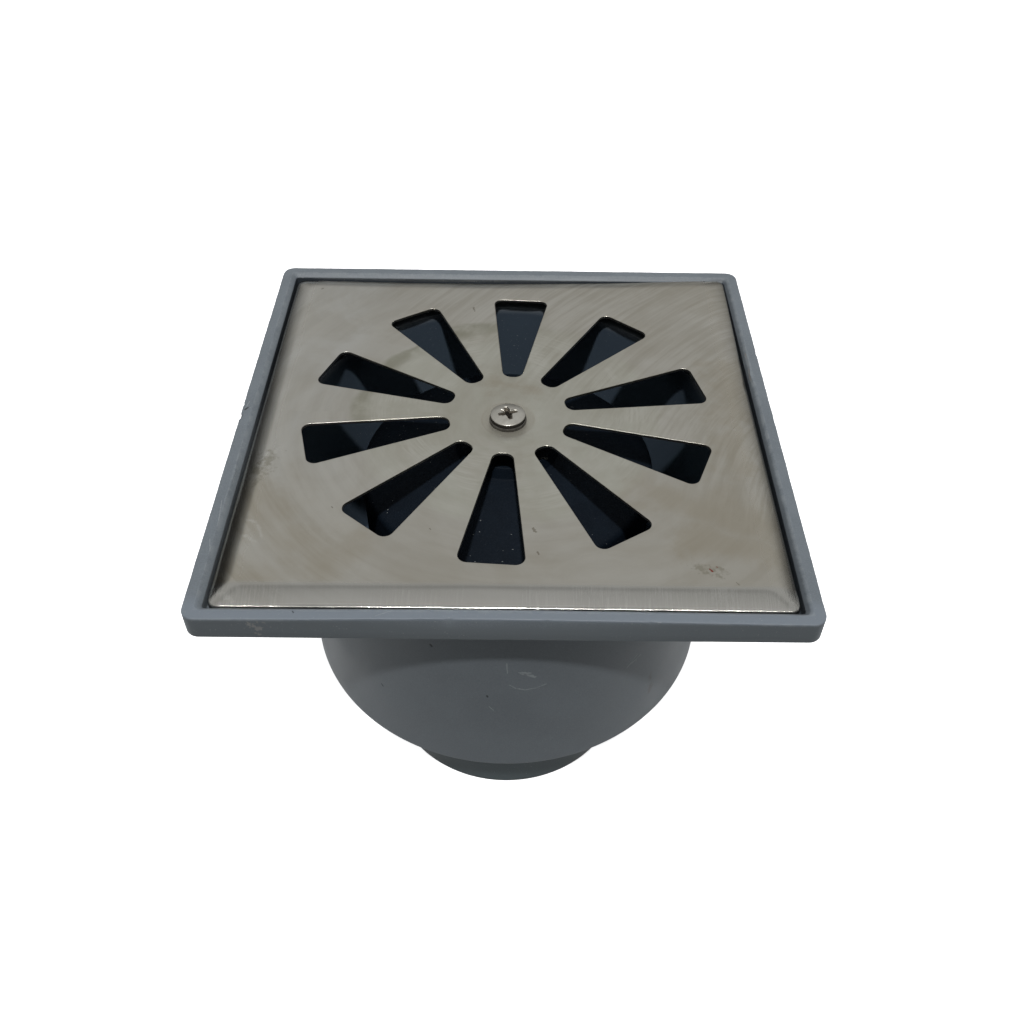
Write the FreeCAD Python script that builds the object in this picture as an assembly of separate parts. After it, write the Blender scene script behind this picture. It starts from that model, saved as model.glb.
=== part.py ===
# A square-topped gully trap: plastic body, bell seal, stainless grate, washer and screw.
# Millimetres. The origin is the centre of the outlet's end face, +Z is up, and the front is -Y.
import FreeCAD, Part
import math
import os

V = FreeCAD.Vector

# Overall
total_height = 128.0
wall = 3.0

# The square frame and the recess that the grate lies in
frame_side = 150.0
frame_height = 6.7
frame_corner_radius = 3.5
frame_edge_chamfer = 0.4
rim_width = 3.0
rim_edge_chamfer = 0.3
shoulder_width = 1.4
shoulder_depth = 1.2
recess_depth = 4.4
recess_draft = 0.1
recess_corner_radius = 1.2

# The pot, the standpipe inside it and the outlet below it
pot_diameter = 125.0
pot_depth = 82.0
pot_edge_chamfer = 0.8
neck_chamfer = 1.5
floor_chamfer = 1.5
standpipe_diameter = 64.0
standpipe_wall = 2.5
standpipe_height = 39.0
outlet_diameter = 82.4
outlet_chamfer = 0.8

# The bell, an upturned cup over the standpipe
bell_diameter = 85.2
bell_wall = 2.5
bell_shoulder_depth = 18.0
bell_cone_rise = 6.5
bell_skirt_gap = 9.0
bell_shoulder_chamfer = 2.0
pad_diameter = 28.0
pad_foot_diameter = 30.0
pad_step = 3.5
post_diameter = 11.0
boss_length = 8.0

# The grate, pressed from sheet
grate_thickness = 0.8
grate_clearance = 0.5
grate_proud = 0.2
grate_corner_radius = 2.5
border_width = 5.5
border_drop = 1.7
border_crest_radius = 2.0
border_bend_inside = 0.5
border_bend_outside = 0.9

# The round seat that is pressed into the grate, forward of the slots' centre, for the washer
seat_offset = 2.6
seat_diameter = 14.6
seat_flat_diameter = 10.8
seat_depth = 0.4

# The slots in the grate
slot_count = 10
slot_inner_reach = 16.8
slot_edge_margin = 2.5
slot_inner_width = 5.25
slot_outer_width = 17.3
slot_inner_round = 2.6
slot_outer_round = 2.4
slot_turn = -3.65

# The washer and the screw
washer_diameter = 10.4
washer_thickness = 1.0
screw_diameter = 4.8
screw_length = 16.0
screw_point = 3.0
head_diameter = 9.8
head_side = 1.1
head_crown = 0.9
recess_span = 6.0
recess_width = 1.4
recess_floor_span = 2.4
recess_floor_width = 0.9
cross_depth = 1.5
cross_turn = 17.0
screw_hole_clearance = 0.3
thread_clearance = 0.02

# How far a cutter runs past the face that it cuts through
cutter_overrun = 1.0
recess_overrun = 0.1

# What fits into something else takes its size from it
grate_side = frame_side - 2 * (rim_width + shoulder_width + recess_draft + grate_clearance)
slot_outer_reach = pot_diameter / 2 - wall - slot_edge_margin

# Heights worked out from the sizes above
rim_top = total_height
recess_floor = rim_top - recess_depth
frame_underside = rim_top - frame_height
pot_underside = rim_top - pot_depth
pot_floor = pot_underside + wall
standpipe_top = pot_floor + standpipe_height
grate_top = rim_top + grate_proud
grate_underside = grate_top - grate_thickness
bell_shoulder = rim_top - bell_shoulder_depth
bell_cone_top = bell_shoulder + bell_cone_rise
pad_top = bell_cone_top + pad_step
bell_rim = pot_floor + bell_skirt_gap
seat_top = grate_top - seat_depth
post_top = seat_top - grate_thickness
head_seat = seat_top + washer_thickness

AXIS = V(0, 0, 1)
SCREW_PLACE = V(0, -seat_offset, 0)
EPS = 1e-4


def square_block(half, low, high):
    """A square block round the axis."""
    return Part.makeBox(2 * half, 2 * half, high - low, V(-half, -half, low))


def spans(edge, low, high):
    """True if the edge runs from height low to height high, or lies level where they are equal."""
    heights = [vertex.Point.z for vertex in edge.Vertexes]
    return abs(min(heights) - low) < EPS and abs(max(heights) - high) < EPS


def edges_between(shape, low, high):
    """The edges that run from height low to height high."""
    return [edge for edge in shape.Edges if spans(edge, low, high)]


def rings(shape, *places):
    """The circular edges at the given (radius, height) places."""
    found = []
    for radius, height in places:
        for edge in shape.Edges:
            if edge.Curve.TypeId != "Part::GeomCircle":
                continue
            if abs(edge.Curve.Radius - radius) < EPS and abs(edge.Curve.Center.z - height) < EPS:
                found.append(edge)
    return found


def turned(points):
    """A solid of revolution round the axis from its (radius, height) section."""
    section = [V(radius, 0, height) for radius, height in points]
    face = Part.Face(Part.makePolygon(section + section[:1]))
    return face.revolve(V(0, 0, 0), AXIS, 360)


def cylinder(diameter, low, high):
    """A plain cylinder round the axis."""
    return Part.makeCylinder(diameter / 2, high - low, V(0, 0, low))


def square_frame():
    """The square frame with rounded corners, before its recess is cut."""
    block = square_block(frame_side / 2, frame_underside, rim_top)
    block = block.makeFillet(frame_corner_radius, edges_between(block, frame_underside, rim_top))
    block = block.makeChamfer(rim_edge_chamfer, edges_between(block, rim_top, rim_top))
    return block.makeChamfer(frame_edge_chamfer, edges_between(block, frame_underside, frame_underside))


def rounded_square_wire(half, radius, z):
    """A square outline with round corners, round the axis at height z."""
    straight = half - radius
    bulge = straight + radius * math.sqrt(0.5)
    corner = [V(half, straight, z), V(bulge, bulge, z), V(straight, half, z), V(-straight, half, z)]
    edges = []
    for turn in range(4):
        spin = FreeCAD.Rotation(AXIS, 90 * turn)
        start, middle, end, following = [spin.multVec(point) for point in corner]
        edges.append(Part.Arc(start, middle, end).toShape())
        edges.append(Part.makeLine(end, following))
    return Part.Wire(edges)


def frame_recess():
    """The pocket that the grate lies in: a drafted wall with a sloping shoulder above it."""
    mouth = frame_side / 2 - rim_width
    wall_top = mouth - shoulder_width
    return Part.makeLoft([
        rounded_square_wire(wall_top - recess_draft, recess_corner_radius, recess_floor),
        rounded_square_wire(wall_top, recess_corner_radius, rim_top - shoulder_depth),
        rounded_square_wire(mouth, recess_corner_radius, rim_top),
    ], True, True)


def pot_and_outlet():
    """The pot, its floor, the standpipe and the outlet, turned as one wall."""
    pot = pot_diameter / 2
    outlet = outlet_diameter / 2
    standpipe = standpipe_diameter / 2
    shell = turned([
        (outlet - wall, 0),
        (outlet, 0),
        (outlet, pot_underside),
        (pot, pot_underside),
        (pot, recess_floor),
        (pot - wall, recess_floor),
        (pot - wall, pot_floor),
        (standpipe, pot_floor),
        (standpipe, standpipe_top),
        (standpipe - standpipe_wall, standpipe_top),
        (standpipe - standpipe_wall, pot_underside),
        (outlet - wall, pot_underside),
    ])
    shell = shell.makeChamfer(pot_edge_chamfer, rings(shell, (pot, pot_underside)))
    shell = shell.makeChamfer(floor_chamfer, rings(shell, (pot - wall, pot_floor), (standpipe, pot_floor)))
    return shell.makeChamfer(outlet_chamfer, rings(shell, (outlet, 0)))


def trap_body():
    """The whole plastic body, moulded in one."""
    opening = cylinder(pot_diameter - 2 * wall, frame_underside, rim_top)
    frame = square_frame().cut(frame_recess()).cut(opening)
    body = frame.fuse(pot_and_outlet()).removeSplitter()
    return body.makeChamfer(neck_chamfer, rings(body, (pot_diameter / 2, frame_underside)))


def bell_cup():
    """The bell: skirt, conical top, pad, and the post that takes the screw."""
    outer = bell_diameter / 2
    inner = outer - bell_wall
    pad = pad_diameter / 2
    foot = pad_foot_diameter / 2
    cone_slope = bell_cone_rise / (outer - foot)
    cup = turned([
        (0, pad_top - bell_wall),
        (pad - bell_wall, pad_top - bell_wall),
        (foot - bell_wall, bell_cone_top - bell_wall),
        (inner, bell_shoulder - bell_wall),
        (inner, bell_rim),
        (outer, bell_rim),
        (outer, bell_shoulder - bell_shoulder_chamfer),
        (outer - bell_shoulder_chamfer, bell_shoulder + bell_shoulder_chamfer * cone_slope),
        (foot, bell_cone_top),
        (pad, pad_top),
        (0, pad_top),
    ])
    post = cylinder(post_diameter, pad_top - bell_wall - boss_length, post_top)
    hole = cylinder(screw_diameter + 2 * thread_clearance, post_top - screw_length, post_top)
    return cup.fuse(post.translated(SCREW_PLACE)).cut(hole.translated(SCREW_PLACE))


def pressed_block(half, top, corner_radius, bend):
    """The grate's outer or inner form: a square block with a bevelled bend and a sloping border."""
    border_foot = top - border_drop
    bend_foot = border_foot - bend
    bend_head = border_foot + bend * border_drop / border_width
    border = Part.makeLoft([
        rounded_square_wire(half, corner_radius, bend_foot),
        rounded_square_wire(half - bend, corner_radius, bend_head),
        rounded_square_wire(half - border_width, border_crest_radius, top),
    ], True, True)
    base = Part.Face(rounded_square_wire(half, corner_radius, recess_floor))
    base = base.extrude(V(0, 0, bend_foot - recess_floor))
    return base.fuse(border).removeSplitter()


def slot_cutter(angle):
    """One tapering slot with rounded corners, through the sheet at the given angle."""
    low = grate_underside - cutter_overrun
    high = grate_top + cutter_overrun
    outline = [
        V(slot_inner_reach, -slot_inner_width / 2, low),
        V(slot_outer_reach, -slot_outer_width / 2, low),
        V(slot_outer_reach, slot_outer_width / 2, low),
        V(slot_inner_reach, slot_inner_width / 2, low),
    ]
    slot = Part.Face(Part.makePolygon(outline + outline[:1])).extrude(V(0, 0, high - low))
    uprights = edges_between(slot, low, high)
    inner = [edge for edge in uprights if abs(edge.CenterOfMass.x - slot_inner_reach) < EPS]
    slot = slot.makeFillet(slot_inner_round, inner)
    uprights = edges_between(slot, low, high)
    outer = [edge for edge in uprights if abs(edge.CenterOfMass.x - slot_outer_reach) < EPS]
    slot = slot.makeFillet(slot_outer_round, outer)
    slot.rotate(V(0, 0, 0), AXIS, angle)
    return slot


def seat_form(top):
    """The round form that presses the washer's seat, with its mouth at the given height."""
    mouth = seat_diameter / 2
    flat = seat_flat_diameter / 2
    form = turned([(0, top - seat_depth), (flat, top - seat_depth), (mouth, top), (0, top)])
    return form.translated(SCREW_PLACE)


def grate():
    """The pressed sheet: sloping border, turned-down edge, ten slots, the washer's seat and its hole."""
    half = grate_side / 2
    outer = pressed_block(half, grate_top, grate_corner_radius, border_bend_outside)
    inner_corner_radius = grate_corner_radius - grate_thickness
    inner = pressed_block(half - grate_thickness, grate_underside, inner_corner_radius, border_bend_inside)
    sheet = outer.cut(inner)
    for index in range(slot_count):
        sheet = sheet.cut(slot_cutter(90 + slot_turn + index * 360.0 / slot_count))
    sheet = sheet.fuse(seat_form(grate_underside)).cut(seat_form(grate_top))
    hole = cylinder(screw_diameter + 2 * screw_hole_clearance, post_top - cutter_overrun, grate_top)
    return sheet.cut(hole.translated(SCREW_PLACE))


def washer():
    """The flat washer under the screw's head."""
    hole = cylinder(screw_diameter + 2 * screw_hole_clearance, seat_top, head_seat)
    return cylinder(washer_diameter, seat_top, head_seat).cut(hole).translated(SCREW_PLACE)


def cross_outline(span, width, z):
    """The outline of a cross recess at height z."""
    reach = span / 2
    side = width / 2
    quarter = [V(reach, -side, z), V(reach, side, z), V(side, side, z)]
    corners = []
    for turn in range(4):
        spin = FreeCAD.Rotation(AXIS, 90 * turn)
        corners += [spin.multVec(point) for point in quarter]
    return Part.makePolygon(corners + corners[:1])


def screw():
    """The pan head screw, with its cross recess and point."""
    head = head_diameter / 2
    shank = screw_diameter / 2
    crown = head_seat + head_side + head_crown
    tip = post_top - screw_length + thread_clearance
    sphere_radius = (head ** 2 + head_crown ** 2) / (2 * head_crown)
    dome = Part.makeSphere(sphere_radius, V(0, 0, crown - sphere_radius))
    blank = turned([
        (0, tip),
        (shank, tip + screw_point),
        (shank, head_seat),
        (head, head_seat),
        (head, crown),
        (0, crown),
    ]).common(dome.fuse(cylinder(head_diameter, tip, head_seat + head_side)))
    recess = Part.makeLoft([
        cross_outline(recess_floor_span, recess_floor_width, crown - cross_depth),
        cross_outline(recess_span, recess_width, crown + recess_overrun),
    ], True, True)
    recess.rotate(V(0, 0, 0), AXIS, cross_turn)
    return blank.cut(recess).translated(SCREW_PLACE)


def export_parts():
    """Writes one STEP file per piece."""
    os.makedirs("parts", exist_ok=True)
    pieces = {
        "trap_body": trap_body(),
        "bell_cup": bell_cup(),
        "grate": grate(),
        "washer": washer(),
        "screw": screw(),
    }
    for name, shape in pieces.items():
        box = shape.BoundBox
        print(name, "valid", shape.isValid(), "solids", len(shape.Solids), "volume", round(shape.Volume),
              "z", round(box.ZMin, 2), round(box.ZMax, 2), "faces", len(shape.Faces))
        shape.exportStep("parts/" + name + ".step")


export_parts()
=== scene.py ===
"""Dresses the gully trap: worn grey plastic body, dark bell, stainless grate, washer and screw.

Lengths are in millimetres until they are placed. The origin is the centre of the outlet's end, +Z is
up and the front is -Y, as in the frame.
"""
import math

import bmesh
import bpy
from mathutils import Matrix, Vector, noise


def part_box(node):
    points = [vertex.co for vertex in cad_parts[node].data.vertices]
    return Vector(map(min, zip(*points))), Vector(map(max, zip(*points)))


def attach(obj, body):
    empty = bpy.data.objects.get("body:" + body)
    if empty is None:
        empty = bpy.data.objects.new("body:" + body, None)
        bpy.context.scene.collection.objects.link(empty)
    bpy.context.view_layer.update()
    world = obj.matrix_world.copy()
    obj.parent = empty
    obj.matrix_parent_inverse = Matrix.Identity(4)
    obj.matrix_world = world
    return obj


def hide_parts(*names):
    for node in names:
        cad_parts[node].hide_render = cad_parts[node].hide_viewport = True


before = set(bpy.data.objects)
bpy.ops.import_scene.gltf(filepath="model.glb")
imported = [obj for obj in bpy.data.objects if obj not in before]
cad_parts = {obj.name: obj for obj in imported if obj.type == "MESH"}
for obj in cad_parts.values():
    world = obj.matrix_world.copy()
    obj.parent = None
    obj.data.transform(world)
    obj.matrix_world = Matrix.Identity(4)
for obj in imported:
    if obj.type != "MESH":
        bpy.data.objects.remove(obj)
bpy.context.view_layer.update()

MM = 0.001

# Sizes read from the frame
body_low, body_high = [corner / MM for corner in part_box("trap_body")]
bell_low, bell_high = [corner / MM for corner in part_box("bell_cup")]
grate_low, grate_high = [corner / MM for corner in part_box("grate")]
washer_low, washer_high = [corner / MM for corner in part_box("washer")]
screw_low, screw_high = [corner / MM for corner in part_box("screw")]
rim_top = body_high.z
recess_floor = grate_low.z
grate_top = grate_high.z

# The body, as the part's source has it
wall = 3.0
side_reach = body_high.x - 0.1
frame_underside = rim_top - 6.7
frame_corner = 3.5
rim_inner_reach = body_high.x - 3.0
rim_inner_corner = 1.6
shoulder_width = 1.4
shoulder_depth = 1.2
recess_reach = rim_inner_reach - shoulder_width - 0.1
pot_radius = 62.5
pot_underside = rim_top - 82.0
pot_floor = pot_underside + wall
standpipe_radius = 32.0
standpipe_bore = 29.5
standpipe_top = pot_floor + 39.0
outlet_radius = 41.2
outlet_chamfer = 0.8
body_points = 768

# The bell
bell_radius = 42.6
bell_wall = 2.5
bell_shoulder = rim_top - 18.0
bell_cone_top = bell_shoulder + 6.5
pad_top = bell_cone_top + 3.5
pad_radius = 14.0
pad_foot_radius = 15.0
post_radius = 5.5
post_top = bell_high.z
boss_end = pad_top - bell_wall - 8.0
screw_hole_end = post_top - 16.0
screw_hole_radius = 2.42
bell_points = 192

# The grate
sheet = 0.8
grate_reach = 70.0
grate_corner = 2.5
border_width = 5.5
border_drop = 1.7
crest_reach = grate_reach - border_width
crest_corner = 2.0
flat_ring_gap = 3.0
grate_points = 480
slot_count = 10
slot_turn = math.radians(90 - 3.65)
slot_inner_reach = 16.8
slot_outer_reach = 57.0
slot_inner_width = 5.25
slot_outer_width = 17.3
slot_inner_round = 2.6
slot_outer_round = 2.4
slot_lip = 0.2
corner_steps = 9

# The seat pressed into the grate, with the washer and the screw in it, forward of the slots' centre
seat_offset = 2.6
seat_radius = 7.3
seat_flat_radius = 5.4
seat_depth = grate_top - washer_low.z
fixing_hole_radius = 2.7
washer_radius = washer_high.x
head_seat = washer_high.z
head_radius = screw_high.x
head_side = 1.1
crown = head_seat + head_side + 0.9
shank_radius = 2.4
screw_tip = screw_low.z
screw_point = 3.0
cross_turn = math.radians(17)
cross_span = 6.0
cross_width = 1.4
cross_floor_span = 2.6
cross_floor_width = 1.0
cross_depth = 1.5
round_points = 128

# The camera, found from the corners of the frame in the photograph
camera_place = (0.00173, -0.22266, 0.31152)
camera_turn = (45.014, -0.772, 0.106)
camera_lens = 35.894
camera_shift = -0.00927


# Outlines and skins


def outline(reach, corner, height, points):
    """A square with round corners about the axis, which is a circle where corner equals reach."""
    straight = reach - corner
    arc = corner * math.pi / 2
    quarter = 2 * straight + arc
    places = []
    for index in range(points):
        turn, step = divmod(index, points // 4)
        along = quarter * step / (points // 4)
        if along <= straight:
            place = Vector((reach, along, height))
        elif along < straight + arc:
            angle = (along - straight) / corner
            x = straight + corner * math.cos(angle)
            y = straight + corner * math.sin(angle)
            place = Vector((x, y, height))
        else:
            place = Vector((quarter - along, reach, height))
        places.append(Matrix.Rotation(turn * math.pi / 2, 3, "Z") @ place)
    return places


def moved(places, forward):
    """The places moved forward, which is towards -Y."""
    return [place - Vector((0, forward, 0)) for place in places]


def eased(section, arc_steps=3):
    """The rings of a closed section with its corners rounded.

    Each corner has a reach, a height and a radius, and maybe a form that its rings keep.
    """
    rings = []
    for index, (reach, height, radius, *form) in enumerate(section):
        here = Vector((reach, height))
        if radius == 0:
            rings.append((reach, height, *form))
            continue
        before = (Vector(section[index - 1][:2]) - here).normalized()
        after = (Vector(section[(index + 1) % len(section)][:2]) - here).normalized()
        half_angle = before.angle(after) / 2
        centre = here + (before + after).normalized() * radius / math.sin(half_angle)
        start = here + before * radius / math.tan(half_angle) - centre
        end = here + after * radius / math.tan(half_angle) - centre
        for step in range(arc_steps + 1):
            place = centre + start.lerp(end, step / arc_steps).normalized() * radius
            rings.append((place.x, place.y, *form))
    return rings


def place_selected(piece, places):
    """Moves the selected points of the piece, which is in edit mode, to their places."""
    shape = bmesh.from_edit_mesh(piece.data)
    chosen = [vertex for vertex in shape.verts if vertex.select]
    for vertex, place in zip(chosen, places):
        vertex.co = place * MM
    bmesh.update_edit_mesh(piece.data)


def select_points(piece, chosen):
    """Selects the points whose numbers are given, and the edges between them."""
    bpy.ops.mesh.select_all(action="DESELECT")
    shape = bmesh.from_edit_mesh(piece.data)
    shape.verts.ensure_lookup_table()
    for index in chosen:
        shape.verts[index].select = True
    shape.select_flush(True)
    bmesh.update_edit_mesh(piece.data)


def skin(name, outlines, closed=True):
    """A skin through the outlines: a ring that is extruded along them, then bridged or capped."""
    points = len(outlines[0])
    bpy.ops.object.select_all(action="DESELECT")
    bpy.ops.mesh.primitive_circle_add(vertices=points, radius=0.1)
    piece = bpy.context.object
    piece.name = name
    piece.data.name = name
    bpy.ops.object.mode_set(mode="EDIT")
    bpy.ops.mesh.select_mode(type="VERT")
    bpy.ops.mesh.select_all(action="SELECT")
    place_selected(piece, outlines[0])
    for places in outlines[1:]:
        bpy.ops.mesh.extrude_edges_move()
        place_selected(piece, places)
    first = range(points)
    last = range(points * (len(outlines) - 1), points * len(outlines))
    if closed:
        select_points(piece, [*first, *last])
        bpy.ops.mesh.bridge_edge_loops()
    else:
        for end in (first, last):
            select_points(piece, end)
            bpy.ops.mesh.edge_face_add()
    bpy.ops.mesh.select_all(action="SELECT")
    bpy.ops.mesh.normals_make_consistent(inside=False)
    bpy.ops.object.mode_set(mode="OBJECT")
    return piece


def make_active(piece):
    """Makes the piece the active one, and the only one that is selected."""
    bpy.ops.object.select_all(action="DESELECT")
    bpy.context.view_layer.objects.active = piece
    piece.select_set(True)


def apply_modifier(piece, kind, **settings):
    """Adds a modifier to the piece and applies it."""
    modifier = piece.modifiers.new(kind.lower(), kind)
    for name, setting in settings.items():
        setattr(modifier, name, setting)
    make_active(piece)
    bpy.ops.object.modifier_apply(modifier=modifier.name)


def cut(piece, cutter):
    """Takes the cutter out of the piece."""
    apply_modifier(piece, "BOOLEAN", object=cutter, operation="DIFFERENCE", solver="EXACT")
    bpy.data.objects.remove(cutter)


def smooth(piece, degrees):
    """Shades the piece smooth, apart from edges sharper than the angle."""
    make_active(piece)
    bpy.ops.object.shade_smooth_by_angle(angle=math.radians(degrees))


def hump(value, centre, reach):
    """1 at the centre, falling smoothly to 0 at the reach on either side."""
    fall = max(0.0, 1 - abs(value - centre) / reach)
    return fall * fall * (3 - 2 * fall)


def rough(x, y, z, size):
    """Smooth noise from -1 to 1 whose humps are about the given size."""
    return noise.noise(Vector((x, y, z)) / size)


# The body


def body_outline(ring):
    """The outline of one ring of the body, round or square."""
    reach, height, form = ring
    if form == "round":
        return outline(reach, reach, height, body_points)
    growth = (frame_corner - rim_inner_corner) / (side_reach - rim_inner_reach)
    corner = rim_inner_corner + (reach - rim_inner_reach) * growth
    return outline(reach, max(corner, 0.6), height, body_points)


def make_body():
    """The moulded body: outlet, pot, frame, recess and standpipe in one skin."""
    section = [
        (outlet_radius - wall, 0, 0.3, "round"),
        (outlet_radius - outlet_chamfer, 0, 0.2, "round"),
        (outlet_radius, outlet_chamfer, 0.3, "round"),
        (outlet_radius, pot_underside, 0.8, "round"),
        (pot_radius, pot_underside, 1.0, "round"),
        (pot_radius, frame_underside, 1.3, "round"),
        (pot_radius + 4, frame_underside, 0, "round"),
        (side_reach - 4, frame_underside, 0, "square"),
        (side_reach, frame_underside, 0.3, "square"),
        (side_reach, frame_underside + 2.5, 0, "square"),
        (side_reach, rim_top - 1.2, 0, "square"),
        (side_reach, rim_top, 0.3, "square"),
        (side_reach - 0.9, rim_top, 0, "square"),
        (side_reach - 1.8, rim_top, 0, "square"),
        (rim_inner_reach + 0.7, rim_top, 0, "square"),
        (rim_inner_reach, rim_top, 0.5, "square"),
        (rim_inner_reach - shoulder_width, rim_top - shoulder_depth, 0.5, "square"),
        (recess_reach, recess_floor, 0.4, "square"),
        (pot_radius + 2, recess_floor, 0, "round"),
        (pot_radius - wall, recess_floor, 0.5, "round"),
        (pot_radius - wall, pot_floor, 1.4, "round"),
        (standpipe_radius, pot_floor, 1.4, "round"),
        (standpipe_radius, standpipe_top, 0.5, "round"),
        (standpipe_bore, standpipe_top, 0.5, "round"),
        (standpipe_bore, pot_underside, 0.5, "round"),
        (outlet_radius - wall, pot_underside, 0.5, "round"),
    ]
    body = skin("body", [body_outline(ring) for ring in eased(section)])
    wear_rim(body)
    bow_front(body, frame_underside + 1, 0.8)
    smooth(body, 50)
    return body


# Marks along the rim's edges: side, place along it, half length, depth or lift, all in millimetres
outer_nicks = [
    ("left", -2.3, 1.6, 0.55),
    ("left", 3.0, 0.9, 0.25),
    ("front", -12.7, 0.9, 0.55),
    ("front", 9.8, 0.8, 0.4),
    ("front", 34.2, 0.8, 0.3),
    ("right", 30.0, 1.2, 0.2),
]
outer_flash = [
    ("front", -31.0, 8.0, 0.2),
    ("front", -18.0, 5.5, 0.25),
]
inner_burrs = [
    ("right", 27.0, 13.5, 0.45),
    ("right", 18.5, 5.5, 0.9),
    ("right", -5.0, 11.5, 0.2),
    ("left", -27.5, 14.0, 0.4),
]


def side_of(x, y):
    """The side of the frame that a place lies on, and how far along it."""
    if abs(x) > abs(y):
        return ("right" if x > 0 else "left"), y
    return ("back" if y > 0 else "front"), x


def marks_at(marks, side, along):
    """How strongly the listed marks act at a place along a side."""
    return sum(depth * hump(along, centre, reach) for name, centre, reach, depth in marks if name == side)


def wear_rim(body):
    """Dulls the rim's edges unevenly, with the nicks, the flash and the lifted burrs of the real one."""
    for vertex in body.data.vertices:
        x, y, z = vertex.co / MM
        if z < rim_top - 2.5:
            continue
        reach = max(abs(x), abs(y))
        side, along = side_of(x, y)
        inwards = -Vector((x, 0, 0)) if side in ("left", "right") else -Vector((0, y, 0))
        inwards.normalize()
        outer = hump(reach, side_reach, 0.9) * hump(z, rim_top, 1.3)
        inner = hump(reach, rim_inner_reach, 0.9) * hump(z, rim_top, 1.3)
        dulling = 0.06 + 0.06 * rough(x, y, z, 4) + 0.04 * rough(x, y, z, 1.3)
        nick = marks_at(outer_nicks, side, along)
        flash = marks_at(outer_flash, side, along) * (0.6 + 0.6 * rough(x, y, 0, 1.6))
        burr = marks_at(inner_burrs, side, along) * (0.8 + 0.5 * rough(x, y, 0, 2.2))
        push = inwards * (outer * (dulling + nick) + inner * (burr - 0.4 * dulling))
        lift = outer * (flash - 0.5 * nick - 0.4 * dulling) + inner * (0.45 * burr - 0.4 * dulling)
        sag = 0.05 * rough(x, y, 0, 30)
        vertex.co += (push + Vector((0, 0, lift + sag))) * MM


def bow_front(piece, low, most):
    """Bows the front side inwards at its middle: most at the top, and not at all below the low height."""
    for vertex in piece.data.vertices:
        x, y, z = vertex.co / MM
        height = min(1, max(0, (z - low) / (rim_top - low)))
        near_front = min(1, max(0, (-y - 60) / 15))
        vertex.co.y += most * MM * hump(x, 0, 76) * height * near_front


# The bell


def make_bell():
    """The bell: skirt, conical top, pad, and the post that takes the screw."""
    inner = bell_radius - bell_wall
    section = [
        (inner, bell_low.z, 0.4, "round"),
        (bell_radius, bell_low.z, 0.4, "round"),
        (bell_radius, bell_shoulder, 2.0, "round"),
        (pad_foot_radius, bell_cone_top, 0.6, "round"),
        (pad_radius, pad_top, 0.5, "round"),
        (post_radius, pad_top, 0.4, "post"),
        (post_radius, post_top, 0.3, "post"),
        (screw_hole_radius, post_top, 0.2, "post"),
        (screw_hole_radius, screw_hole_end, 0, "post"),
        (0.4, screw_hole_end, 0, "post"),
        (0.4, boss_end, 0, "post"),
        (post_radius, boss_end, 0.3, "post"),
        (post_radius, pad_top - bell_wall, 0.4, "post"),
        (pad_radius - bell_wall, pad_top - bell_wall, 0.4, "round"),
        (pad_foot_radius - bell_wall, bell_cone_top - bell_wall, 0.6, "round"),
        (inner, bell_shoulder - bell_wall, 1.0, "round"),
    ]
    rings = []
    for reach, height, form in eased(section, 5):
        ring = outline(reach, reach, height, bell_points)
        rings.append(moved(ring, seat_offset) if form == "post" else ring)
    bell = skin("bell", rings)
    smooth(bell, 50)
    return bell


# The grate


def slot_outline(grow, height):
    """A tapering slot along +X with round corners, grown by a little at a given height."""
    taper = math.atan((slot_outer_width - slot_inner_width) / 2 / (slot_outer_reach - slot_inner_reach))
    corners = []
    for reach, radius in (
        (slot_outer_reach - slot_outer_round, slot_outer_round),
        (slot_inner_reach + slot_inner_round, slot_inner_round),
    ):
        edge = slot_inner_width / 2 + (reach - slot_inner_reach) * math.tan(taper)
        corners.append((reach, edge - radius / math.cos(taper), radius))
    side = math.pi / 2 + taper
    outer, inner = corners
    arcs = [
        (outer, 1, 0, side),
        (inner, 1, side, math.pi),
        (inner, -1, math.pi, 2 * math.pi - side),
        (outer, -1, 2 * math.pi - side, 2 * math.pi),
    ]
    places = []
    for (reach, half, radius), sign, start, end in arcs:
        for step in range(corner_steps):
            angle = start + (end - start) * step / (corner_steps - 1)
            x = reach + (radius + grow) * math.cos(angle)
            y = sign * half + (radius + grow) * math.sin(angle)
            places.append(Vector((x, y, height)))
    return places


def make_slot_cutters():
    """All the slots as one cutter, with a lip that leaves their upper edges rounded."""
    top = grate_top
    outlines = [slot_outline(0, top - sheet - 2)]
    for step in range(5):
        angle = step / 4 * math.pi / 2
        grow = slot_lip * (1 - math.cos(angle))
        outlines.append(slot_outline(grow, top - slot_lip * (1 - math.sin(angle))))
    outlines.append(slot_outline(slot_lip * 1.3, top + 1))
    first = skin("slot cutter", outlines, closed=False)
    cutters = [first]
    for _ in range(slot_count - 1):
        copy = first.copy()
        copy.data = first.data.copy()
        bpy.context.scene.collection.objects.link(copy)
        cutters.append(copy)
    for index, cutter in enumerate(cutters):
        cutter.data.transform(Matrix.Rotation(slot_turn + index * 2 * math.pi / slot_count, 4, "Z"))
    make_active(first)
    for cutter in cutters:
        cutter.select_set(True)
    bpy.ops.object.join()
    return first


def grate_outline(reach, height):
    """One ring of the grate, which goes from round at the screw's hole to square at the border."""
    if reach > crest_reach - 1:
        corner = crest_corner + (grate_corner - crest_corner) * (reach - crest_reach) / border_width
    else:
        spread = hump(reach, crest_reach, crest_reach - 8)
        corner = reach * (1 - spread) + crest_corner * spread
    forward = seat_offset * min(1, max(0, (14 - reach) / 5))
    return moved(outline(reach, corner, height, grate_points), forward)


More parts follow.
